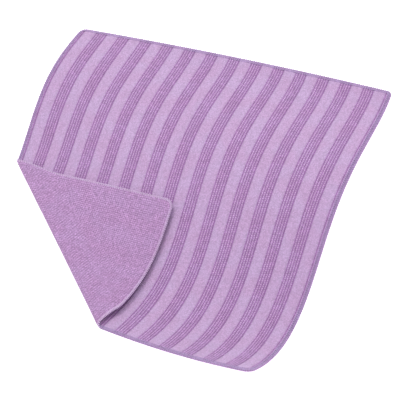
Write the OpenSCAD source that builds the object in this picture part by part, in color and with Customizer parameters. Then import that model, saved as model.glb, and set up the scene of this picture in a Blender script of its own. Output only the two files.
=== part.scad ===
// A square quick dry cloth of striped terry knit, lying in a soft wave with one corner folded over.
//
// The cloth is drawn from one flat square: u runs from its left edge (0) to its right edge (1),
// v from its top edge (0) to its bottom edge (1), and h is the height above the middle of the
// cloth towards its ribbed face. place() takes such a point to where the cloth really lies.
// Every layer, band and thread is cut into three stretches: flat, bend and corner.

/* [Cloth] */
// Side of the square cloth, laid flat
side = 400; // [360:5:440]
// Thickness of the knitted ground
ground_t = 1; // [0.8:0.1:1.2]
// Height of the terry pile on each face
pile_t = 1; // [0.8:0.1:1.2]
// Number of ribbed bands from edge to edge, with a half band at each edge
stripes = 14; // [10:1:18]

/* [Edging] */
// Width of the overlocked edging
edging_w = 4; // [3:0.5:5]
// How far the looper threads stand above the pile
edging_proud = 0.2; // [0.1:0.1:0.4]
// Thickness of the needle thread that holds the loopers
needle_t = 0.4; // [0.2:0.1:0.5]

/* [Fold] */
// Where the fold starts on the left edge, as a share of the side from the top edge
fold_left = 0.495; // [0.45:0.005:0.55]
// Where the fold ends on the bottom edge, as a share of the side from the left edge
fold_bottom = 0.505; // [0.45:0.005:0.55]
// Radius of the bend, at the middle of the cloth
bend_r = 3; // [2.6:0.1:4]
// Length of cloth on each side of the bend that flexes with it
bend_give = 5; // [4:0.5:7]

/* [Detail] */
// Rows of facets from the top edge to the bottom edge or the fold
flat_rows = 22; // [12:1:30]
// Rows of facets round the bend
bend_rows = 12; // [6:1:16]
// Rows of facets on the folded corner
corner_rows = 10; // [4:1:14]

/* [Hidden] */

smooth_colour = "#C3A3CD";
ribbed_colour = "#AE89B9";
ground_colour = "#A985B5";
back_colour = "#B690C0";
looper_colour = "#AE98BC";
needle_colour = "#BBA6C6";

// Three guide curves down the cloth, as the control points of its wave on a cloth of guide_side
guide_side = 400;
left_guide = [
    [-215, 175, 0], [-215, 85, 25], [-225, 30, 30],
    [-145, -90, -60], [-185, -140, 105], [-165, -190, 95]
];
middle_guide = [
    [-5, 195, 0], [5, 110, -15], [-35, 50, 85],
    [50, -55, -40], [30, -150, 0], [20, -200, 10]
];
right_guide = [
    [190, 200, 0], [200, 125, -5], [200, 15, 90],
    [210, -30, -20], [215, -125, -37], [210, -190, 50]
];
guides = [left_guide, middle_guide, right_guide];

// The middle of the cloth lies this high where its pile is pressed on the floor
rest_h = 0.8;
// Moves the origin under the middle of the cloth
centre = [-1.7, 2.2];

ground_h = ground_t / 2;
face_h = ground_h + pile_t;
edging_h = face_h + edging_proud;
margin = edging_w / side;
bend_len = bend_r * PI / 2;
flex_len = bend_len + bend_give;
// Clearance that keeps curved neighbours from running into each other
hair = 0.1;
bend_reach = flex_len - hair;

// The fold line on the flat square: its direction, and the way towards the folded corner
fold_run = [fold_bottom, 1 - fold_left];
fold_dir = fold_run / norm(fold_run);
fold_across = [-fold_dir.y, fold_dir.x];
// How far from the crease the cloth still eases over to it
ease_len = 60;
// Keeps the last facets at the end of the fold from closing to nothing
tip = 0.0004;

// ---- where a point of the flat square lies ----

function choose(n, k) = k == 0 ? 1 : choose(n - 1, k - 1) * n / k;
function weights(n, t) = [for (k = [0:n]) choose(n, k) * pow(t, k) * pow(1 - t, n - k)];
function unit(a) = a / norm(a);

function drape(p) =
    let (down = weights(5, p.y))
    weights(2, p.x) * [for (guide = guides) down * guide] * side / guide_side;

// The crease is where the flat cloth turns into the bend. A weighty fold pulls it straight,
// so the cloth eases over from its drape to the straight line between the crease's ends.
crease_start = [0, fold_left] - fold_across * bend_len / side;
crease_tip = drape(crease_start);
crease_dir = unit(drape(crease_start + fold_run) - crease_tip);
function middle(p) =
    let (
        q = p - crease_start,
        along = max(0, min(norm(fold_run), q * fold_dir)),
        off = q * fold_across * side,
        chord = drape(crease_start + fold_dir * along) - crease_tip,
        pull = crease_dir * (chord * crease_dir) - chord
    )
    drape(p) + pull * exp(-pow(off / ease_len, 2));

function slope(p, way, step = 0.001) = middle(p + way * step) - middle(p - way * step);
function up(p) = unit(cross(slope(p, [0, 1]), slope(p, [1, 0])));

// Distance beyond the fold line, and the v at which column u reaches a given distance
function beyond(p) = (p - [0, fold_left]) * fold_across * side;
function fold_v(u, distance) =
    fold_left + (u * fold_dir.y + distance / side) / fold_dir.x;
function fold_u(v, distance) = ((v - fold_left) * fold_dir.x - distance / side) / fold_dir.y;

function on_flat(p, h) = middle(p) + up(p) * h;

function on_bend(p, h) =
    let (
        travel = beyond(p) + bend_len,
        foot = p - fold_across * travel / side,
        n = up(foot),
        out = cross(unit(slope(foot, fold_dir)), n),
        turn = travel / bend_r * 180 / PI
    )
    middle(foot) + n * bend_r + (out * sin(turn) - n * cos(turn)) * (bend_r - h);

function on_corner(p, h) =
    let (under = p - fold_across * 2 * beyond(p) / side)
    middle(under) + up(under) * (2 * bend_r - h);

function lie(p, h) =
    let (distance = beyond(p))
    distance <= -bend_len ? on_flat(p, h)
    : distance < bend_len ? on_bend(p, h)
    : on_corner(p, h);

function place(p, h) =
    let (q = lie(p, h))
    [q.x - centre.x, q.y - centre.y, max(q.z + rest_h, 0)];

// ---- the three stretches of the cloth ----

function first_v(stretch, u, m) =
    stretch == "flat" ? m
    : fold_v(u, stretch == "bend" ? -bend_reach : flex_len);

function last_v(stretch, u, m) =
    stretch == "flat" ? min(1 - m, fold_v(u, -flex_len))
    : stretch == "bend" ? min(1 - m, fold_v(u, bend_reach))
    : 1 - m;

function last_u(stretch, m) =
    stretch == "flat" ? 1 - m
    : fold_u(1 - m, stretch == "bend" ? -bend_reach : flex_len) - tip;

function rows(stretch) =
    stretch == "flat" ? flat_rows : stretch == "bend" ? bend_rows : corner_rows;

function row_v(stretch, u, row, m) =
    let (t = row / rows(stretch), a = first_v(stretch, u, m), b = last_v(stretch, u, m))
    a + (b - a) * t;

// Edges of the bands: a half band at each side, and two edges to a stripe between them
band_edges = concat(
    [margin],
    [for (k = [0:2 * stripes - 1]) (k + 0.5) / (2 * stripes)],
    [1 - margin]
);
band_count = len(band_edges) - 1;
// Columns that meet the two ends of the flexing cloth on the bottom edge
fold_ends = [fold_u(1 - margin, flex_len), fold_u(1 - margin, -flex_len)];

function with_column(list, u) =
    concat([for (a = list) if (a < u) a], [u], [for (a = list) if (a > u) a]);
function with_columns(list, extra, k = 0) =
    k == len(extra) ? list : with_columns(with_column(list, extra[k]), extra, k + 1);
flat_columns = with_columns(band_edges, fold_ends);
// The bend crosses the bottom edge at a slant, so there its columns follow its rows
bend_columns = with_columns(
    band_edges,
    [for (row = [0:bend_rows]) fold_u(1 - margin, bend_reach * (1 - 2 * row / bend_rows))]
);

function columns_between(stretch, a, b) =
    let (columns = stretch == "bend" ? bend_columns : flat_columns)
    concat([a], [for (u = columns) if (u > a && u < b) u], [b]);
function stretch_columns(stretch) = columns_between(stretch, margin, last_u(stretch, margin));

// ---- solids ----

// Each quad is cut from its first corner to its third, so neighbours share their facets
function triangles(quads) = [
    for (q = quads, half = [[q[0], q[1], q[2]], [q[0], q[2], q[3]]]) half
];

// A layer of the cloth between two heights, over a run of columns of one stretch
module layer(stretch, us, low_h, high_h) {
    n = rows(stretch);
    last = len(us) - 1;
    sheet_size = len(us) * (n + 1);
    points = [
        for (h = [low_h, high_h], u = us, row = [0:n])
            place([u, row_v(stretch, u, row, margin)], h)
    ];
    at = function (side_, i, row) side_ * sheet_size + i * (n + 1) + row;
    quads = concat(
        [for (i = [0:last - 1], r = [0:n - 1])
            [at(1, i, r), at(1, i + 1, r), at(1, i + 1, r + 1), at(1, i, r + 1)]],
        [for (i = [0:last - 1], r = [0:n - 1])
            [at(0, i, r), at(0, i, r + 1), at(0, i + 1, r + 1), at(0, i + 1, r)]],
        [for (r = [0:n - 1]) [at(0, 0, r), at(1, 0, r), at(1, 0, r + 1), at(0, 0, r + 1)]],
        [for (r = [0:n - 1])
            [at(0, last, r), at(0, last, r + 1), at(1, last, r + 1), at(1, last, r)]],
        [for (i = [0:last - 1]) [at(0, i, 0), at(0, i + 1, 0), at(1, i + 1, 0), at(1, i, 0)]],
        [for (i = [0:last - 1]) [at(0, i, n), at(1, i, n), at(1, i + 1, n), at(0, i + 1, n)]]
    );
    polyhedron(points, triangles(quads), convexity = 6);
}

module whole_layer(stretch, low_h, high_h) {
    layer(stretch, stretch_columns(stretch), low_h, high_h);
}

// Every second band of one stretch: the ribbed ones start at 0, the smooth ones at 1
module bands(stretch, first) {
    end = last_u(stretch, margin);
    for (k = [first:2:band_count - 1])
        if (band_edges[k] < end)
            layer(
                stretch,
                columns_between(stretch, band_edges[k], min(band_edges[k + 1], end)),
                ground_h,
                face_h
            );
}

// The edging's routes: pairs of a point on the seam and a point on the cut edge
function down_left(stretch) = [
    for (row = [0:rows(stretch)])
        [[margin, row_v(stretch, margin, row, margin)], [0, row_v(stretch, 0, row, 0)]]
];
function along(us, seam_v, edge_v, first_u, end_u) = [
    for (i = [0:len(us) - 1])
        [[us[i], seam_v], [i == 0 ? first_u : i == len(us) - 1 ? end_u : us[i], edge_v]]
];
function reversed(list) = [for (i = [len(list) - 1:-1:0]) list[i]];
function but_first(list) = [for (i = [1:len(list) - 1]) list[i]];

function flat_routes() = let (
    left = reversed(down_left("flat")),
    top = along(stretch_columns("flat"), margin, 0, 0, 1),
    right = [
        for (row = [0:flat_rows])
            [[1 - margin, row_v("flat", 1 - margin, row, margin)], [1, row / flat_rows]]
    ],
    bottom_us = columns_between("flat", fold_ends[1], 1 - margin),
    bottom = reversed(along(bottom_us, 1 - margin, 1, fold_u(1, -flex_len), 1))
) [concat(left, but_first(top), but_first(right), but_first(bottom))];

function bend_routes() = let (
    bottom_us = columns_between("bend", fold_u(1 - margin, bend_reach), last_u("bend", margin)),
    bottom = [for (u = bottom_us) [[u, 1 - margin], [fold_u(1, beyond([u, 1 - margin])), 1]]]
) [reversed(down_left("bend")), reversed(bottom)];

function corner_routes() = let (
    bottom_us = columns_between("corner", margin, fold_ends[0]),
    bottom = along(bottom_us, 1 - margin, 1, 0, fold_u(1, flex_len))
) [reversed(concat(down_left("corner"), but_first(bottom)))];

function routes(stretch) =
    stretch == "flat" ? flat_routes() : stretch == "bend" ? bend_routes() : corner_routes();

// Sweeps a section along a route. The section's first number runs from the seam to the edge,
// and its points turn clockwise as the route runs away from you, or the other way if mirrored.
module edging(stretch, section, mirrored = false) {
    n = len(section);
    for (route = routes(stretch)) {
        last = len(route) - 1;
        points = [
            for (pair = route, s = section) place(pair[0] + (pair[1] - pair[0]) * s.x, s.y)
        ];
        faces = concat(
            triangles([
                for (i = [0:last - 1], k = [0:n - 1])
                    let (next = (k + 1) % n)
                    [i * n + k, (i + 1) * n + k, (i + 1) * n + next, i * n + next]
            ]),
            [for (k = [1:n - 2]) [0, k, k + 1]],
            [for (k = [1:n - 2]) [last * n, last * n + k + 1, last * n + k]]
        );
        turned = mirrored ? [for (f = faces) [f[0], f[2], f[1]]] : faces;
        polyhedron(points, turned, convexity = 6);
    }
}

seam = 2 * hair / edging_w;
upper_section = [[seam, 0], [1, 0], [1, edging_h * 0.55], [0.7, edging_h], [seam, edging_h]];
lower_section = [for (s = upper_section) [s.x, -s.y]];
// The needle thread lies just clear of the loopers under it
needle_low = edging_h + hair;
needle_high = needle_low + needle_t;
needle_section = [
    [0.05, needle_low], [0.05 + needle_t / edging_w, needle_low],
    [0.05 + needle_t / edging_w, needle_high], [0.05, needle_high]
];

// ---- the cloth, lying in its wave ----

module ground_knit() { color(ground_colour) whole_layer("flat", -ground_h, ground_h); }
module back_pile() { color(back_colour) whole_layer("flat", -face_h, -ground_h); }
module ribbed_bands() { color(ribbed_colour) bands("flat", 0); }
module smooth_bands() { color(smooth_colour) bands("flat", 1); }
module upper_looper_thread() { color(looper_colour) edging("flat", upper_section); }
module lower_looper_thread() { color(looper_colour) edging("flat", lower_section, mirrored = true); }
module needle_thread() { color(needle_colour) edging("flat", needle_section); }

// ---- the bend that joins it to the folded corner ----

module fold_ground_knit() { color(ground_colour) whole_layer("bend", -ground_h, ground_h); }
module fold_back_pile() { color(back_colour) whole_layer("bend", -face_h, -ground_h); }
module fold_ribbed_bands() { color(ribbed_colour) bands("bend", 0); }
module fold_smooth_bands() { color(smooth_colour) bands("bend", 1); }
module fold_upper_looper_thread() { color(looper_colour) edging("bend", upper_section); }
module fold_lower_looper_thread() { color(looper_colour) edging("bend", lower_section, mirrored = true); }
module fold_needle_thread() { color(needle_colour) edging("bend", needle_section); }

// ---- the corner, folded over with its back up ----

module corner_ground_knit() { color(ground_colour) whole_layer("corner", -ground_h, ground_h); }
module corner_back_pile() { color(back_colour) whole_layer("corner", -face_h, -ground_h); }
module corner_ribbed_bands() { color(ribbed_colour) bands("corner", 0); }
module corner_smooth_bands() { color(smooth_colour) bands("corner", 1); }
module corner_upper_looper_thread() { color(looper_colour) edging("corner", upper_section); }
module corner_lower_looper_thread() { color(looper_colour) edging("corner", lower_section, mirrored = true); }
module corner_needle_thread() { color(needle_colour) edging("corner", needle_section); }

ground_knit();
back_pile();
ribbed_bands();
smooth_bands();
upper_looper_thread();
lower_looper_thread();
needle_thread();
fold_ground_knit();
fold_back_pile();
fold_ribbed_bands();
fold_smooth_bands();
fold_upper_looper_thread();
fold_lower_looper_thread();
fold_needle_thread();
corner_ground_knit();
corner_back_pile();
corner_ribbed_bands();
corner_smooth_bands();
corner_upper_looper_thread();
corner_lower_looper_thread();
corner_needle_thread();
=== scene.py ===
"""Looks of a quick dry towel: a square of striped terry lying in a soft wave, one corner folded over.

The towel is drawn from one flat square, as the CAD model is: x runs from its left edge and y from
its top edge, in millimetres, and h is the height above the middle of the cloth towards its ribbed
face. lie() takes such points to where the cloth lies, in metres.
"""
import math

import bpy
import numpy as np
from mathutils import Matrix, Vector


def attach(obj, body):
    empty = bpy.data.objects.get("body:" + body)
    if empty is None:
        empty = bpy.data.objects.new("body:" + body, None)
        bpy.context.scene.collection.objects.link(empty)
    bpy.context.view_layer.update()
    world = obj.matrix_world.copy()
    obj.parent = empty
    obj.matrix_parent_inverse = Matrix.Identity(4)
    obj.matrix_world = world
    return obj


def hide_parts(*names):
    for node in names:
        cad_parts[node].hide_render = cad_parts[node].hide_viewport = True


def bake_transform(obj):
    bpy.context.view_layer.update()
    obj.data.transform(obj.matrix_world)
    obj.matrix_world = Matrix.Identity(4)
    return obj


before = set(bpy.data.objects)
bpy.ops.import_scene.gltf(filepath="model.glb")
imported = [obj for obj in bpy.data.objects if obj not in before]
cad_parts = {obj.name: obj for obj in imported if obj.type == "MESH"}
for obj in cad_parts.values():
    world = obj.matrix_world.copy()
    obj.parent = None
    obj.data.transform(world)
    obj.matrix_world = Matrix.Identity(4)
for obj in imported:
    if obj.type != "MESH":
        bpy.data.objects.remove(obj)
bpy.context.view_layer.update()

# ---- the cloth's shape, as in the CAD model, in millimetres ----

MM = 0.001
SIDE = 400.0
# Three guide curves down the cloth, left, middle and right, as the control points of its wave
GUIDES = np.array([
    [
        [-215, 175, 0], [-215, 85, 25], [-225, 30, 30],
        [-145, -90, -60], [-185, -140, 105], [-165, -190, 95],
    ],
    [
        [-5, 195, 0], [5, 110, -15], [-35, 50, 85],
        [50, -55, -40], [30, -150, 0], [20, -200, 10],
    ],
    [
        [190, 200, 0], [200, 125, -5], [200, 15, 90],
        [210, -30, -20], [215, -125, -37], [210, -190, 50],
    ],
], float)
CENTRE = np.array([-1.7, 2.2, -0.8])
# The fold starts this far down the left edge and ends as far from the bottom left corner
FOLD_LEFT = 0.495
FOLD_START = np.array([0.0, FOLD_LEFT * SIDE])
FOLD_RUN = np.array([(1 - FOLD_LEFT) * SIDE, (1 - FOLD_LEFT) * SIDE])
BEND_R = 3.0
# How far from the crease the cloth is still pulled straight by it
EASE = 60.0
# Surfaces and the centre lines of threads lie no lower than this. The threads' own thickness
# reaches up to 0.3 mm below the origin, and the floor is 0.5 mm below it
LOWEST = 0.15

RIBBED_BANDS = 14
PITCH = SIDE / RIBBED_BANDS
BAND = PITCH / 2
EDGING = 4.0
# Radii of the corners: top left, top right, bottom right, bottom left (the folded one). The CAD
# model's corners are square
CORNERS = (7.0, 6.0, 9.0, 10.0)

# The CAD model mirrors the folded corner about the fold. Here it has slipped a little as it settled:
# along the crease, at the crease's start and far end, and away from the crease at its start
SLIP_START = 15.0
SLIP_FAR = 8.0
SLIP_AWAY = 4.0
SLIP_REACH = 30.0
# It also lies higher than the bend, its far end most, so that a gap shows under its edge
RISE = 2.4
RISE_FAR = 1.8
RISE_REACH = 22.0

fold_length = float(np.linalg.norm(FOLD_RUN))
fold_dir = FOLD_RUN / fold_length
fold_across = np.array([-fold_dir[1], fold_dir[0]])
bend_len = BEND_R * math.pi / 2


def smoothstep(t):
    t = np.clip(t, 0, 1)
    return t * t * (3 - 2 * t)


def unit(a):
    return a / np.linalg.norm(a, axis=-1, keepdims=True)


def dots(a, b):
    return (a * b).sum(-1, keepdims=True)


def bernstein(n, t):
    return [math.comb(n, k) * t**k * (1 - t) ** (n - k) for k in range(n + 1)]


def drape(p):
    """The middle of the cloth at points p of the flat square, before the crease is pulled straight."""
    across = np.stack(bernstein(2, p[:, 0] / SIDE), -1)
    down = np.stack(bernstein(5, p[:, 1] / SIDE), -1)
    ways = np.tensordot(down, GUIDES, axes=(1, 1))
    return np.einsum("ni,nik->nk", across, ways)


crease_start = FOLD_START - fold_across * bend_len
crease_tip, crease_far = drape(np.array([crease_start, crease_start + FOLD_RUN]))
crease_dir = unit(crease_far - crease_tip)


def middle(p):
    q = p - crease_start
    along = np.clip(q @ fold_dir, 0, fold_length)
    chord = drape(crease_start + along[:, None] * fold_dir) - crease_tip
    pull = crease_dir * (chord @ crease_dir)[:, None] - chord
    return drape(p) + pull * np.exp(-((q @ fold_across / EASE) ** 2))[:, None]


def slope(p, way):
    step = 0.4 * np.asarray(way, float)
    return middle(p + step) - middle(p - step)


def up(p):
    return unit(np.cross(slope(p, (0, 1)), slope(p, (1, 0))))


def beyond(p):
    return (p - FOLD_START) @ fold_across


def along_fold(p):
    """How far along the fold points are, from 0 at its start to 1 at its far end."""
    return np.clip((p - FOLD_START) @ fold_dir / fold_length, 0, 1)[:, None]


def slip(p, d):
    """How far the folded corner has slipped over the cloth below it."""
    share = along_fold(p)
    reached = smoothstep((d - bend_len) / SLIP_REACH)[:, None]
    along = SLIP_START + (SLIP_FAR - SLIP_START) * share
    return reached * (fold_dir * along - fold_across * SLIP_AWAY * (1 - share))


def rise(p, d):
    """How much higher than the bend the folded corner lies."""
    share = along_fold(p)
    return smoothstep((d - bend_len) / RISE_REACH)[:, None] * (RISE + RISE_FAR * share**3)


def lie(p, h):
    """Where points p of the flat square, at heights h, lie in the folded cloth, in metres."""
    h = np.broadcast_to(h, len(p)).astype(float)[:, None]
    d = beyond(p)
    out = np.empty((len(p), 3))
    flat, corner = d <= -bend_len, d >= bend_len
    bend = ~(flat | corner)
    if flat.any():
        out[flat] = middle(p[flat]) + up(p[flat]) * h[flat]
    if corner.any():
        on, reach = p[corner], d[corner]
        under = on - fold_across * 2 * reach[:, None] + slip(on, reach)
        out[corner] = middle(under) + up(under) * (2 * BEND_R + rise(on, reach) - h[corner])
    if bend.any():
        travel = d[bend, None] + bend_len
        foot = p[bend] - fold_across * travel
        n = up(foot)
        outward = np.cross(unit(slope(foot, fold_dir)), n)
        turn = travel / BEND_R
        spoke = outward * np.sin(turn) - n * np.cos(turn)
        out[bend] = middle(foot) + n * BEND_R + spoke * (BEND_R - h[bend])
    out -= CENTRE
    out[:, 2] = np.maximum(out[:, 2], LOWEST)
    return out * MM


# ---- the outline of the flat square, with its rounded corners ----


def inset_at(x, radius):
    """How far a rounded corner cuts in at distance x from its side."""
    near = np.clip(radius - x, 0, radius)
    return radius - np.sqrt(radius**2 - near**2)


def top_y(x):
    return inset_at(x, CORNERS[0]) + inset_at(SIDE - x, CORNERS[1])


def bottom_y(x):
    return SIDE - inset_at(x, CORNERS[3]) - inset_at(SIDE - x, CORNERS[2])


def fold_y(x, distance):
    return FOLD_START[1] + (x * fold_dir[1] + distance) / fold_dir[0]


def from_edge(p):
    """Distance of points from the outline, inwards."""
    x, y = p[:, 0], p[:, 1]
    e = np.minimum(np.minimum(x, SIDE - x), np.minimum(y, SIDE - y))
    for (cx, cy), r in zip(((0, 0), (1, 0), (1, 1), (0, 1)), CORNERS):
        ax = SIDE - x if cx else x
        ay = SIDE - y if cy else y
        inside = (ax < r) & (ay < r)
        e[inside] = r - np.hypot(r - ax[inside], r - ay[inside])
    return e


def bend_start_y(x):
    return np.minimum(bottom_y(x), fold_y(x, -bend_len))


def bend_end_y(x):
    return np.minimum(bottom_y(x), fold_y(x, bend_len))


# Each stretch of the cloth lies between two lines, given as y at x
STRETCHES = {
    "cloth": (top_y, bend_start_y),
    "fold": (bend_start_y, bend_end_y),
    "corner": (bend_end_y, bottom_y),
}

# ---- heights of the terry, and the painted shade in its hollows ----

RIB_PITCH = 3.07
LOOP = 2.4
BACK_LOOP = 2.5
RIB_TOP, SMOOTH_TOP, SHARED_TOP, BACK_TOP = 1.45, 1.6, 1.25, 1.5
GROOVE = 0.55


def pressed(e):
    """The share of the terry's height left near the edge, where the threads hold it down."""
    return 0.45 + 0.55 * smoothstep((e - 1.0) / 4.5)


def rib_height(p, middle_x):
    """Height of a ribbed band, and its painted light, from 0 (painted shade) in a groove to 1 on a
    rib.
    """
    x = p[:, 0] - middle_x
    off = np.abs((x / RIB_PITCH + 0.5) % 1 - 0.5) * RIB_PITCH
    rib = 1 - np.exp(-((off / 0.55) ** 2))
    number = np.floor(x / RIB_PITCH)
    loops = np.cos(2 * np.pi * (p[:, 1] / LOOP + 0.37 * number))
    h = RIB_TOP - GROOVE * (1 - rib) + 0.22 * loops * rib
    # painted shade and light across the band: painted lighter on its left side and darker on its right
    shade = 1 - 0.2 * x / BAND
    # painted shade in the grooves and between the loops along each rib
    return h, np.clip(rib * (0.68 + 0.32 * loops) * shade, 0, 1)


def smooth_height(p, middle_x, rng):
    off = BAND / 2 - np.abs(p[:, 0] - middle_x)
    shoulder = np.exp(-((off / 0.9) ** 2))
    grain = rng.normal(0, 0.05, len(p))
    # painted shade where the band's shoulders dip towards the ribbed bands beside it
    return SMOOTH_TOP - (SMOOTH_TOP - SHARED_TOP) * shoulder + grain, 1 - 0.35 * shoulder


def back_height(p, rng):
    across, down = np.cos(2 * np.pi * p.T / BACK_LOOP)
    loops = 0.6 * across + 0.4 * down
    grain = rng.normal(0, 0.06, len(p))
    # painted shade between the rows of loops, plus random tone from the grain
    return BACK_TOP + 0.3 * loops + grain, np.clip(0.55 + 0.45 * loops + grain, 0, 1)


# ---- meshes ----


def lattice(xs, ys, low, high):
    """A grid over columns xs and rows ys, cut off between low(x) and high(x): points and faces."""
    lows = low(xs)
    highs = np.maximum(high(xs), lows)
    first = np.clip(np.searchsorted(ys, lows, side="right") - 1, 0, len(ys) - 1)
    last = np.maximum(np.clip(np.searchsorted(ys, highs, side="left"), 0, len(ys) - 1), first)
    last[highs <= lows] = first[highs <= lows]
    rows = np.arange(len(ys))
    ids = np.clip(rows, first[:, None], last[:, None]) + np.arange(len(xs))[:, None] * len(ys)
    y = np.clip(np.broadcast_to(ys, ids.shape), lows[:, None], highs[:, None])
    points = np.stack([np.broadcast_to(xs[:, None], ids.shape), y], -1).reshape(-1, 2)
    a, b = ids[:-1, :-1].ravel(), ids[:-1, 1:].ravel()
    c, d = ids[1:, 1:].ravel(), ids[1:, :-1].ravel()
    near, far = a == b, c == d
    quads = np.stack([a, b, c, d], -1)[~near & ~far]
    tris = np.concatenate([
        np.stack([a, c, d], -1)[near & ~far],
        np.stack([a, b, c], -1)[~near & far],
    ])
    used = np.unique(np.concatenate([quads.ravel(), tris.ravel()]))
    renumber = np.zeros(len(points), int)
    renumber[used] = np.arange(len(used))
    return points[used], renumber[quads], renumber[tris]


def joined(parts):
    """Several (points, quads, tris, ...) made into one, with the extra columns joined too."""
    start, out = 0, []
    for points, quads, tris, *extra in parts:
        out.append((points, quads + start, tris + start, *extra))
        start += len(points)
    return [np.concatenate(column) for column in zip(*out)]


def new_piece(name, verts, quads, tris, flat=None, pile=None, smooth=True):
    mesh = bpy.data.meshes.new(name)
    mesh.vertices.add(len(verts))
    mesh.vertices.foreach_set("co", np.asarray(verts, np.float32).ravel())
    corners = np.concatenate([quads.ravel(), tris.ravel()]).astype(np.int32)
    sizes = np.concatenate([np.full(len(quads), 4), np.full(len(tris), 3)]).astype(np.int32)
    mesh.loops.add(len(corners))
    mesh.loops.foreach_set("vertex_index", corners)
    mesh.polygons.add(len(sizes))
    mesh.polygons.foreach_set("loop_start", (np.cumsum(sizes) - sizes).astype(np.int32))
    mesh.polygons.foreach_set("loop_total", sizes)
    if flat is not None:
        layer = mesh.uv_layers.new(name="flat")
        layer.data.foreach_set("uv", (flat[corners] * MM).astype(np.float32).ravel())
    # pile: how much of a fabric's top colour a point shows; 0 gives the painted shade colour of the
    # hollows
    if pile is not None:
        attribute = mesh.attributes.new("pile", "FLOAT", "POINT")
        attribute.data.foreach_set("value", np.asarray(pile, np.float32))
    mesh.update(calc_edges=True)
    mesh.validate()
    mesh.polygons.foreach_set("use_smooth", np.full(len(mesh.polygons), smooth))
    piece = bpy.data.objects.new(name, mesh)
    bpy.context.scene.collection.objects.link(piece)
    return piece


def finish_piece(piece, stretch, slot, material, *nodes):
    piece.data.materials.append(material)
    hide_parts(*nodes)
    if stretch == "fold":
        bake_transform(piece)
    else:
        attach(piece, stretch)
    return piece


ROWS = np.linspace(0, SIDE, 501)
EDGE_IN = 0.7
GROUND_IN = 0.35
GROUND_HALF = 0.45


def cut_in(stretch, inset):
    """The stretch's limits, kept inside the outline by an inset."""
    low, high = STRETCHES[stretch]

    def low_in(x):
        return np.maximum(low(x), top_y(x) + inset)

    def high_in(x):
        return np.minimum(high(x), bottom_y(x) - inset)

    return low_in, high_in


def band_spans(ribbed):
    """Left, middle and right of each band of one kind, kept inside the edges."""
    for k in range(RIBBED_BANDS + ribbed):
        centre = k * PITCH if ribbed else (k + 0.5) * PITCH
        yield max(centre - BAND / 2, EDGE_IN), centre, min(centre + BAND / 2, SIDE - EDGE_IN)


def face_pile(stretch, ribbed, cell, spans, rng):
    low, high = cut_in(stretch, EDGE_IN)
    parts = []
    for left, centre, right in spans:
        columns = np.linspace(left, right, max(2, round((right - left) / cell)) + 1)
        points, quads, tris = lattice(columns, ROWS, low, high)
        if len(points) < 4:
            continue
        h, pile = rib_height(points, centre) if ribbed else smooth_height(points, centre, rng)
        e = from_edge(points)
        # painted shade near the outline: the pile is painted darker within about 3.6 mm of the edge,
        # under the edging threads
        parts.append((points, quads, tris, h * pressed(e), pile * smoothstep(0.4 + e / 6)))
    points, quads, tris, h, pile = joined(parts)
    return lie(points, h), quads, tris, points, pile


def back_pile(stretch, cell, rng):
    low, high = cut_in(stretch, EDGE_IN)
    rows = np.linspace(0, SIDE, round(SIDE / cell) + 1)
    columns = np.clip(rows, EDGE_IN, SIDE - EDGE_IN)
    points, quads, tris = lattice(columns, rows, low, high)
    h, pile = back_height(points, rng)
    e = from_edge(points)
    return lie(points, -h * pressed(e)), quads[:, ::-1], tris[:, ::-1], points, pile


def ground(stretch, cell):
    """The thin closed knit under the piles."""
    low, high = cut_in(stretch, GROUND_IN)
    columns = np.linspace(GROUND_IN, SIDE - GROUND_IN, round(SIDE / cell) + 1)
    rows = np.linspace(0, SIDE, round(SIDE / cell) + 1)
    points, quads, tris = lattice(columns, rows, low, high)
    n = len(points)
    quad_edges = [quads[:, [i, (i + 1) % 4]] for i in range(4)]
    tri_edges = [tris[:, [i, (i + 1) % 3]] for i in range(3)]
    edges = np.concatenate(quad_edges + tri_edges)
    keys = np.sort(edges, axis=1)
    _, where, count = np.unique(keys, axis=0, return_index=True, return_counts=True)
    rim = edges[where[count == 1]]
    walls = np.stack([rim[:, 1], rim[:, 0], rim[:, 0] + n, rim[:, 1] + n], -1)
    verts = np.concatenate([lie(points, GROUND_HALF), lie(points, -GROUND_HALF)])
    all_quads = np.concatenate([quads, quads[:, ::-1] + n, walls])
    all_tris = np.concatenate([tris, tris[:, ::-1] + n])
    return verts, all_quads, all_tris, np.concatenate([points, points]), np.full(2 * n, 0.3)


# ---- the overlocked edging ----

STITCH = 2.5
THREAD_R = 0.42
NEEDLE_R = 0.28
STEPS = 10
SIDES = 6


def rim_walk():
    """The outline as straight runs and arcs: (length, start, way, centre, radius, first angle)."""
    a, b, c, d = CORNERS
    half = math.pi / 2
    return [
        (SIDE - a - d, (0, SIDE - d), (0, -1), None, 0, 0),
        (a * half, None, None, (a, a), a, 2 * half),
        (SIDE - a - b, (a, 0), (1, 0), None, 0, 0),
        (b * half, None, None, (SIDE - b, b), b, 3 * half),
        (SIDE - b - c, (SIDE, b), (0, 1), None, 0, 0),
        (c * half, None, None, (SIDE - c, SIDE - c), c, 0),
        (SIDE - c - d, (SIDE - c, SIDE), (-1, 0), None, 0, 0),
        (d * half, None, None, (d, SIDE - d), d, half),
    ]


def rim(s, w):
    """Points at distance s round the outline, w inside it."""
    out = np.empty((len(s), 2))
    start = 0.0
    for length, origin, way, centre, radius, angle in rim_walk():
        on = (s >= start) & (s <= start + length)
        t = (s[on] - start)[:, None]
        if centre is None:
            way = np.array(way, float)
            inward = np.array([-way[1], way[0]])
            out[on] = np.array(origin) + way * t + inward * w[on, None]
        else:
            turn = angle + t[:, 0] / radius
            reach = (radius - w[on])[:, None]
            out[on] = np.array(centre) + np.stack([np.cos(turn), np.sin(turn)], -1) * reach
        start += length
    return out


rim_length = sum(run[0] for run in rim_walk())
stitches = round(rim_length / STITCH)
stitch = rim_length / stitches


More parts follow.
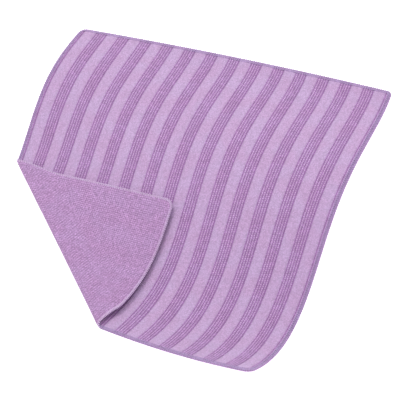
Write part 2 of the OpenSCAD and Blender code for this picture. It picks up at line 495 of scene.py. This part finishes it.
def run_of(stretch):
    """Runs of stitches, as lists of stitch numbers, that lie on one stretch of the cloth."""
    at = (np.arange(stitches) + 0.5) * stitch
    d = beyond(rim(at, np.full(stitches, EDGING / 2)))
    on = {"cloth": d <= -bend_len, "fold": np.abs(d) < bend_len, "corner": d >= bend_len}[stretch]
    numbers = np.flatnonzero(on)
    runs = np.split(numbers, np.flatnonzero(np.diff(numbers) > 1) + 1)
    if len(runs) > 1 and runs[0][0] == 0 and runs[-1][-1] == stitches - 1:
        runs = [np.concatenate([runs[-1], runs[0]])] + runs[1:-1]
    return runs


def tube(path, across, radius, sides=SIDES):
    """A closed tube of thread along a path; across is a direction that isn't along it."""
    along = unit(np.gradient(path, axis=0))
    side = unit(np.cross(along, across))
    over = np.cross(side, along)
    turn = np.linspace(0, 2 * np.pi, sides, endpoint=False)
    ring = side[:, None] * np.cos(turn)[:, None] + over[:, None] * np.sin(turn)[:, None]
    verts = (path[:, None] + ring * radius * MM).reshape(-1, 3)
    n = len(path)
    i = np.arange(n - 1)[:, None] * sides
    k = np.arange(sides)
    nxt = (k + 1) % sides
    quads = np.stack([i + k, i + sides + k, i + sides + nxt, i + nxt], -1).reshape(-1, 4)
    fan = np.arange(1, sides - 1)
    caps = np.concatenate([
        np.stack([0 * fan, fan, fan + 1], -1),
        (n - 1) * sides + np.stack([0 * fan, fan + 1, fan], -1),
    ])
    return verts, quads, caps


def thread_piece(stretch, route, radius):
    """A piece of thread on one stretch. route(s, t) gives the inset and height along the stitches."""
    parts = []
    for numbers in run_of(stretch):
        t = np.arange(len(numbers) * STEPS + 1) / STEPS
        s = (numbers[0] + t) * stitch
        w, h = route(t)
        points = rim(s % rim_length, w)
        path = lie(points, h)
        away = unit(lie(points, h + 0.5) - path)
        verts, quads, caps = tube(path, away, radius)
        flat = np.repeat(np.stack([s, w], -1), SIDES, axis=0)
        parts.append((verts, quads, caps, flat, np.ones(len(verts))))
    return joined(parts)


def looper_route(top):
    """Zigzags from the cut edge inwards and back, once a stitch, on the face (top 1) or back (-1)."""
    reach = EDGING if top > 0 else 0.55 * EDGING

    def route(t):
        swing = 0.5 + 0.5 * np.cos(2 * np.pi * t)
        swing = 0.65 * swing + 0.35 * smoothstep(swing)
        w = -0.25 + (reach + 0.35) * swing
        over = (RIB_TOP * pressed(np.maximum(w, 0)) + 0.18) * smoothstep((w + 0.25) / 1.0)
        return w, top * np.maximum(over, 0.12)

    return route


def needle_route(t):
    w = np.full(len(t), EDGING + 0.15)
    h = RIB_TOP * pressed(w) + 0.15 + 0.32 * np.abs(np.sin(np.pi * t)) ** 0.6
    return w, h


# ---- materials ----


def node(tree, kind, **values):
    made = tree.nodes.new(kind)
    for key, value in values.items():
        if hasattr(made, key):
            setattr(made, key, value)
        else:
            made.inputs[key].default_value = value
    return made


def srgb(r, g, b):
    """A linear colour from 8-bit sRGB values."""
    def linear(c):
        c /= 255
        return c / 12.92 if c <= 0.04045 else ((c + 0.055) / 1.055) ** 2.4
    return (linear(r), linear(g), linear(b), 1.0)


def ranged(tree, source, low, high, out_low, out_high):
    """A value that goes from out_low to out_high as source goes from low to high."""
    made = node(tree, "ShaderNodeMapRange")
    limits = {"From Min": low, "From Max": high, "To Min": out_low, "To Max": out_high}
    for socket, value in limits.items():
        made.inputs[socket].default_value = value
    tree.links.new(source, made.inputs["Value"])
    return made.outputs["Result"]


def product(tree, first, *others):
    for other in others:
        made = node(tree, "ShaderNodeMath", operation="MULTIPLY")
        tree.links.new(first, made.inputs[0])
        tree.links.new(other, made.inputs[1])
        first = made.outputs["Value"]
    return first


def fabric(name, hollow_shade, top, loop_mm, order, contrast, fibre_mm):
    """Terry or thread: a painted shade colour in the hollows, the top colour on the loops.

    loop_mm is the size of a loop, order how regular the rows are (0 to 1), contrast how much the
    loops differ in lightness from each other and how much painted shade darkens the gaps between them,
    fibre_mm the fibres' size.
    """
    material = bpy.data.materials.new(name)
    material.use_nodes = True
    tree = material.node_tree
    shader = tree.nodes["Principled BSDF"]
    shader.inputs["Roughness"].default_value = 0.92
    shader.inputs["Specular IOR Level"].default_value = 0.15
    shader.inputs["Sheen Weight"].default_value = 0.2
    shader.inputs["Sheen Roughness"].default_value = 0.6
    link = tree.links.new
    flat = node(tree, "ShaderNodeUVMap", uv_map="flat")
    pile = node(tree, "ShaderNodeAttribute", attribute_name="pile")
    dye = node(tree, "ShaderNodeTexNoise", Scale=42.0, Detail=3.0)
    fibre = node(tree, "ShaderNodeTexNoise", Scale=1 / (fibre_mm * MM), Detail=4.0, Roughness=0.65)
    loops = node(tree, "ShaderNodeTexVoronoi", Scale=1 / (loop_mm * MM), Randomness=1 - order)
    for texture in (dye, fibre, loops):
        link(flat.outputs["UV"], texture.inputs["Vector"])
    apart = node(tree, "ShaderNodeSeparateColor")
    link(loops.outputs["Color"], apart.inputs["Color"])
    hollow_shade_mix = node(tree, "ShaderNodeMixRGB", blend_type="MIX")
    hollow_shade_mix.inputs["Color1"].default_value = hollow_shade
    shift = node(tree, "ShaderNodeMixRGB", blend_type="MIX")
    shift.inputs["Color1"].default_value = (top[0] * 1.015, top[1] * 0.98, top[2], 1)
    shift.inputs["Color2"].default_value = (top[0] * 0.98, top[1] * 1.01, top[2] * 1.01, 1)
    link(ranged(tree, dye.outputs["Fac"], 0.4, 0.6, 0, 1), shift.inputs["Fac"])
    link(shift.outputs["Color"], hollow_shade_mix.inputs["Color2"])
    link(pile.outputs["Fac"], hollow_shade_mix.inputs["Fac"])
    tone_and_gap_shade = product(
        tree,
        ranged(tree, fibre.outputs["Fac"], 0.3, 0.7, 1 - 0.5 * contrast, 1 + 0.5 * contrast),
        ranged(tree, dye.outputs["Fac"], 0.3, 0.7, 0.965, 1.035),
        ranged(tree, apart.outputs[0], 0, 1, 1 - 0.8 * contrast, 1 + 0.8 * contrast),
        # painted shade: darker in the gaps between the loops, away from each loop's centre
        ranged(tree, loops.outputs["Distance"], 0.15, 0.65, 1 + 0.5 * contrast, 1 - 1.3 * contrast),
    )
    tint = node(tree, "ShaderNodeVectorMath", operation="SCALE")
    link(hollow_shade_mix.outputs["Color"], tint.inputs[0])
    link(tone_and_gap_shade, tint.inputs["Scale"])
    link(tint.outputs["Vector"], shader.inputs["Base Color"])
    relief = node(tree, "ShaderNodeMath", operation="SUBTRACT")
    fuzz = node(tree, "ShaderNodeMath", operation="MULTIPLY")
    fuzz.inputs[1].default_value = 0.5
    link(fibre.outputs["Fac"], fuzz.inputs[0])
    link(fuzz.outputs["Value"], relief.inputs[0])
    link(loops.outputs["Distance"], relief.inputs[1])
    bump = node(tree, "ShaderNodeBump", Strength=0.8, Distance=0.5 * MM)
    link(relief.outputs["Value"], bump.inputs["Height"])
    link(bump.outputs["Normal"], shader.inputs["Normal"])
    return material


# Each look: painted shade colour for the hollows (deeper, more saturated purple), top colour, loop
# size, order, contrast, fibre size
LOOKS = {
    "ground_knit": (srgb(150, 108, 160), srgb(178, 138, 188), 1.0, 0.8, 0.1, 0.7),
    "ribbed_pile": (srgb(146, 92, 162), srgb(215, 180, 221), 1.7, 0.4, 0.17, 0.7),
    "smooth_pile": (srgb(174, 138, 188), srgb(202, 170, 211), 1.3, 0.2, 0.13, 0.7),
    "back_pile": (srgb(158, 112, 170), srgb(216, 177, 222), 1.5, 0.3, 0.2, 0.7),
    "looper_thread": (srgb(160, 130, 180), srgb(194, 166, 211), 1.2, 0.2, 0.12, 0.25),
    "under_looper_thread": (srgb(180, 146, 196), srgb(224, 197, 232), 1.2, 0.2, 0.1, 0.25),
    "needle_thread": (srgb(156, 126, 178), srgb(188, 158, 206), 1.2, 0.2, 0.1, 0.25),
}
looks = {name: fabric(name, *values) for name, values in LOOKS.items()}

# ---- the pieces ----


# The ribbed bands of the cloth are too many triangles for one piece, so these first ones are apart
LEFT_BANDS = 8


def prefixed(stretch, node_name):
    return node_name if stretch == "cloth" else f"{stretch}_{node_name}"


def build(stretch):
    rng = np.random.default_rng(7)
    made = []

    def add(name, data, slot, material, *nodes):
        piece = new_piece(f"{prefixed(stretch, name)}_fine", *data)
        finish_piece(piece, stretch, slot, material, *(prefixed(stretch, n) for n in nodes))
        made.append(piece)

    cell = 2.5 if stretch == "cloth" else 0.8
    add("ground_knit", ground(stretch, cell), "ground_knit", looks["ground_knit"], "ground_knit")
    cell = 1.25 if stretch == "cloth" else 0.625
    add("back_pile", back_pile(stretch, cell, rng), "back_pile", looks["back_pile"], "back_pile")
    spans = list(band_spans(True))
    groups = [("", spans)]
    if stretch == "cloth":
        groups = [("left_", spans[:LEFT_BANDS]), ("right_", spans[LEFT_BANDS:])]
    for side, some in groups:
        data = face_pile(stretch, True, 0.6, some, rng)
        add(f"{side}ribbed_bands", data, "ribbed_pile", looks["ribbed_pile"])
        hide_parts(prefixed(stretch, "ribbed_bands"))
    data = face_pile(stretch, False, 1.2, list(band_spans(False)), rng)
    add("smooth_bands", data, "smooth_pile", looks["smooth_pile"], "smooth_bands")
    for name, top in (("upper_looper_thread", 1), ("lower_looper_thread", -1)):
        data = thread_piece(stretch, looper_route(top), THREAD_R)
        look = looks["looper_thread" if top > 0 else "under_looper_thread"]
        add(name, data, "looper_thread", look, name)
    data = thread_piece(stretch, needle_route, NEEDLE_R)
    add("needle_thread", data, "needle_thread", looks["needle_thread"], "needle_thread")
    return made


pieces = {stretch: build(stretch) for stretch in STRETCHES}

# ---- floor, light and camera ----


def floor():
    bpy.ops.mesh.primitive_plane_add(size=8, location=(0, 0, -0.0005))
    plane = bpy.context.object
    plane.name = "floor"
    material = bpy.data.materials.new("floor")
    material.use_nodes = True
    shader = material.node_tree.nodes["Principled BSDF"]
    shader.inputs["Base Color"].default_value = (0.9, 0.9, 0.9, 1)
    shader.inputs["Roughness"].default_value = 0.9
    shader.inputs["Specular IOR Level"].default_value = 0.0
    shader.inputs["Emission Color"].default_value = (1, 1, 1, 1)
    shader.inputs["Emission Strength"].default_value = 0.8
    plane.data.materials.append(material)


def area_light(name, place, size, power, target=(0, 0, 0.02), colour=(0.95, 1.0, 0.9)):
    data = bpy.data.lights.new(name, "AREA")
    data.shape = "SQUARE"
    data.size = size
    data.energy = power
    data.color = colour
    lamp = bpy.data.objects.new(name, data)
    lamp.location = place
    way = np.array(target) - np.array(place)
    lamp.rotation_mode = "QUATERNION"
    lamp.rotation_quaternion = Vector(way).to_track_quat("-Z", "Y")
    bpy.context.scene.collection.objects.link(lamp)


def camera():
    right = np.array([0.8621, 0.4366, -0.2572])
    forward = unit(np.array([-0.4334, 0.3723, -0.8207]))
    upward = unit(np.cross(right, forward))
    right = np.cross(forward, upward)
    data = bpy.data.cameras.new("camera")
    data.sensor_width = 36
    data.lens = 180
    data.clip_end = 50
    cam = bpy.data.objects.new("camera", data)
    place = np.array([1.0147, -0.8371, 1.8468])
    columns = np.stack([right, upward, -forward, place], -1)
    cam.matrix_world = Matrix([list(row) for row in columns] + [[0, 0, 0, 1]])
    bpy.context.scene.collection.objects.link(cam)
    bpy.context.scene.camera = cam


# The lamps are slightly green and the surroundings slightly violet, which tints the shadows violet
world = bpy.data.worlds.new("world")
world.use_nodes = True
world.node_tree.nodes["Background"].inputs["Color"].default_value = (0.96, 0.91, 1, 1)
world.node_tree.nodes["Background"].inputs["Strength"].default_value = 0.72
bpy.context.scene.world = world
bpy.context.scene.view_settings.view_transform = "Standard"
floor()
area_light("key", (-0.4, 0.7, 2.0), 0.8, 19)
area_light("fill", (0.8, 0.3, 1.9), 1.2, 5)
camera()
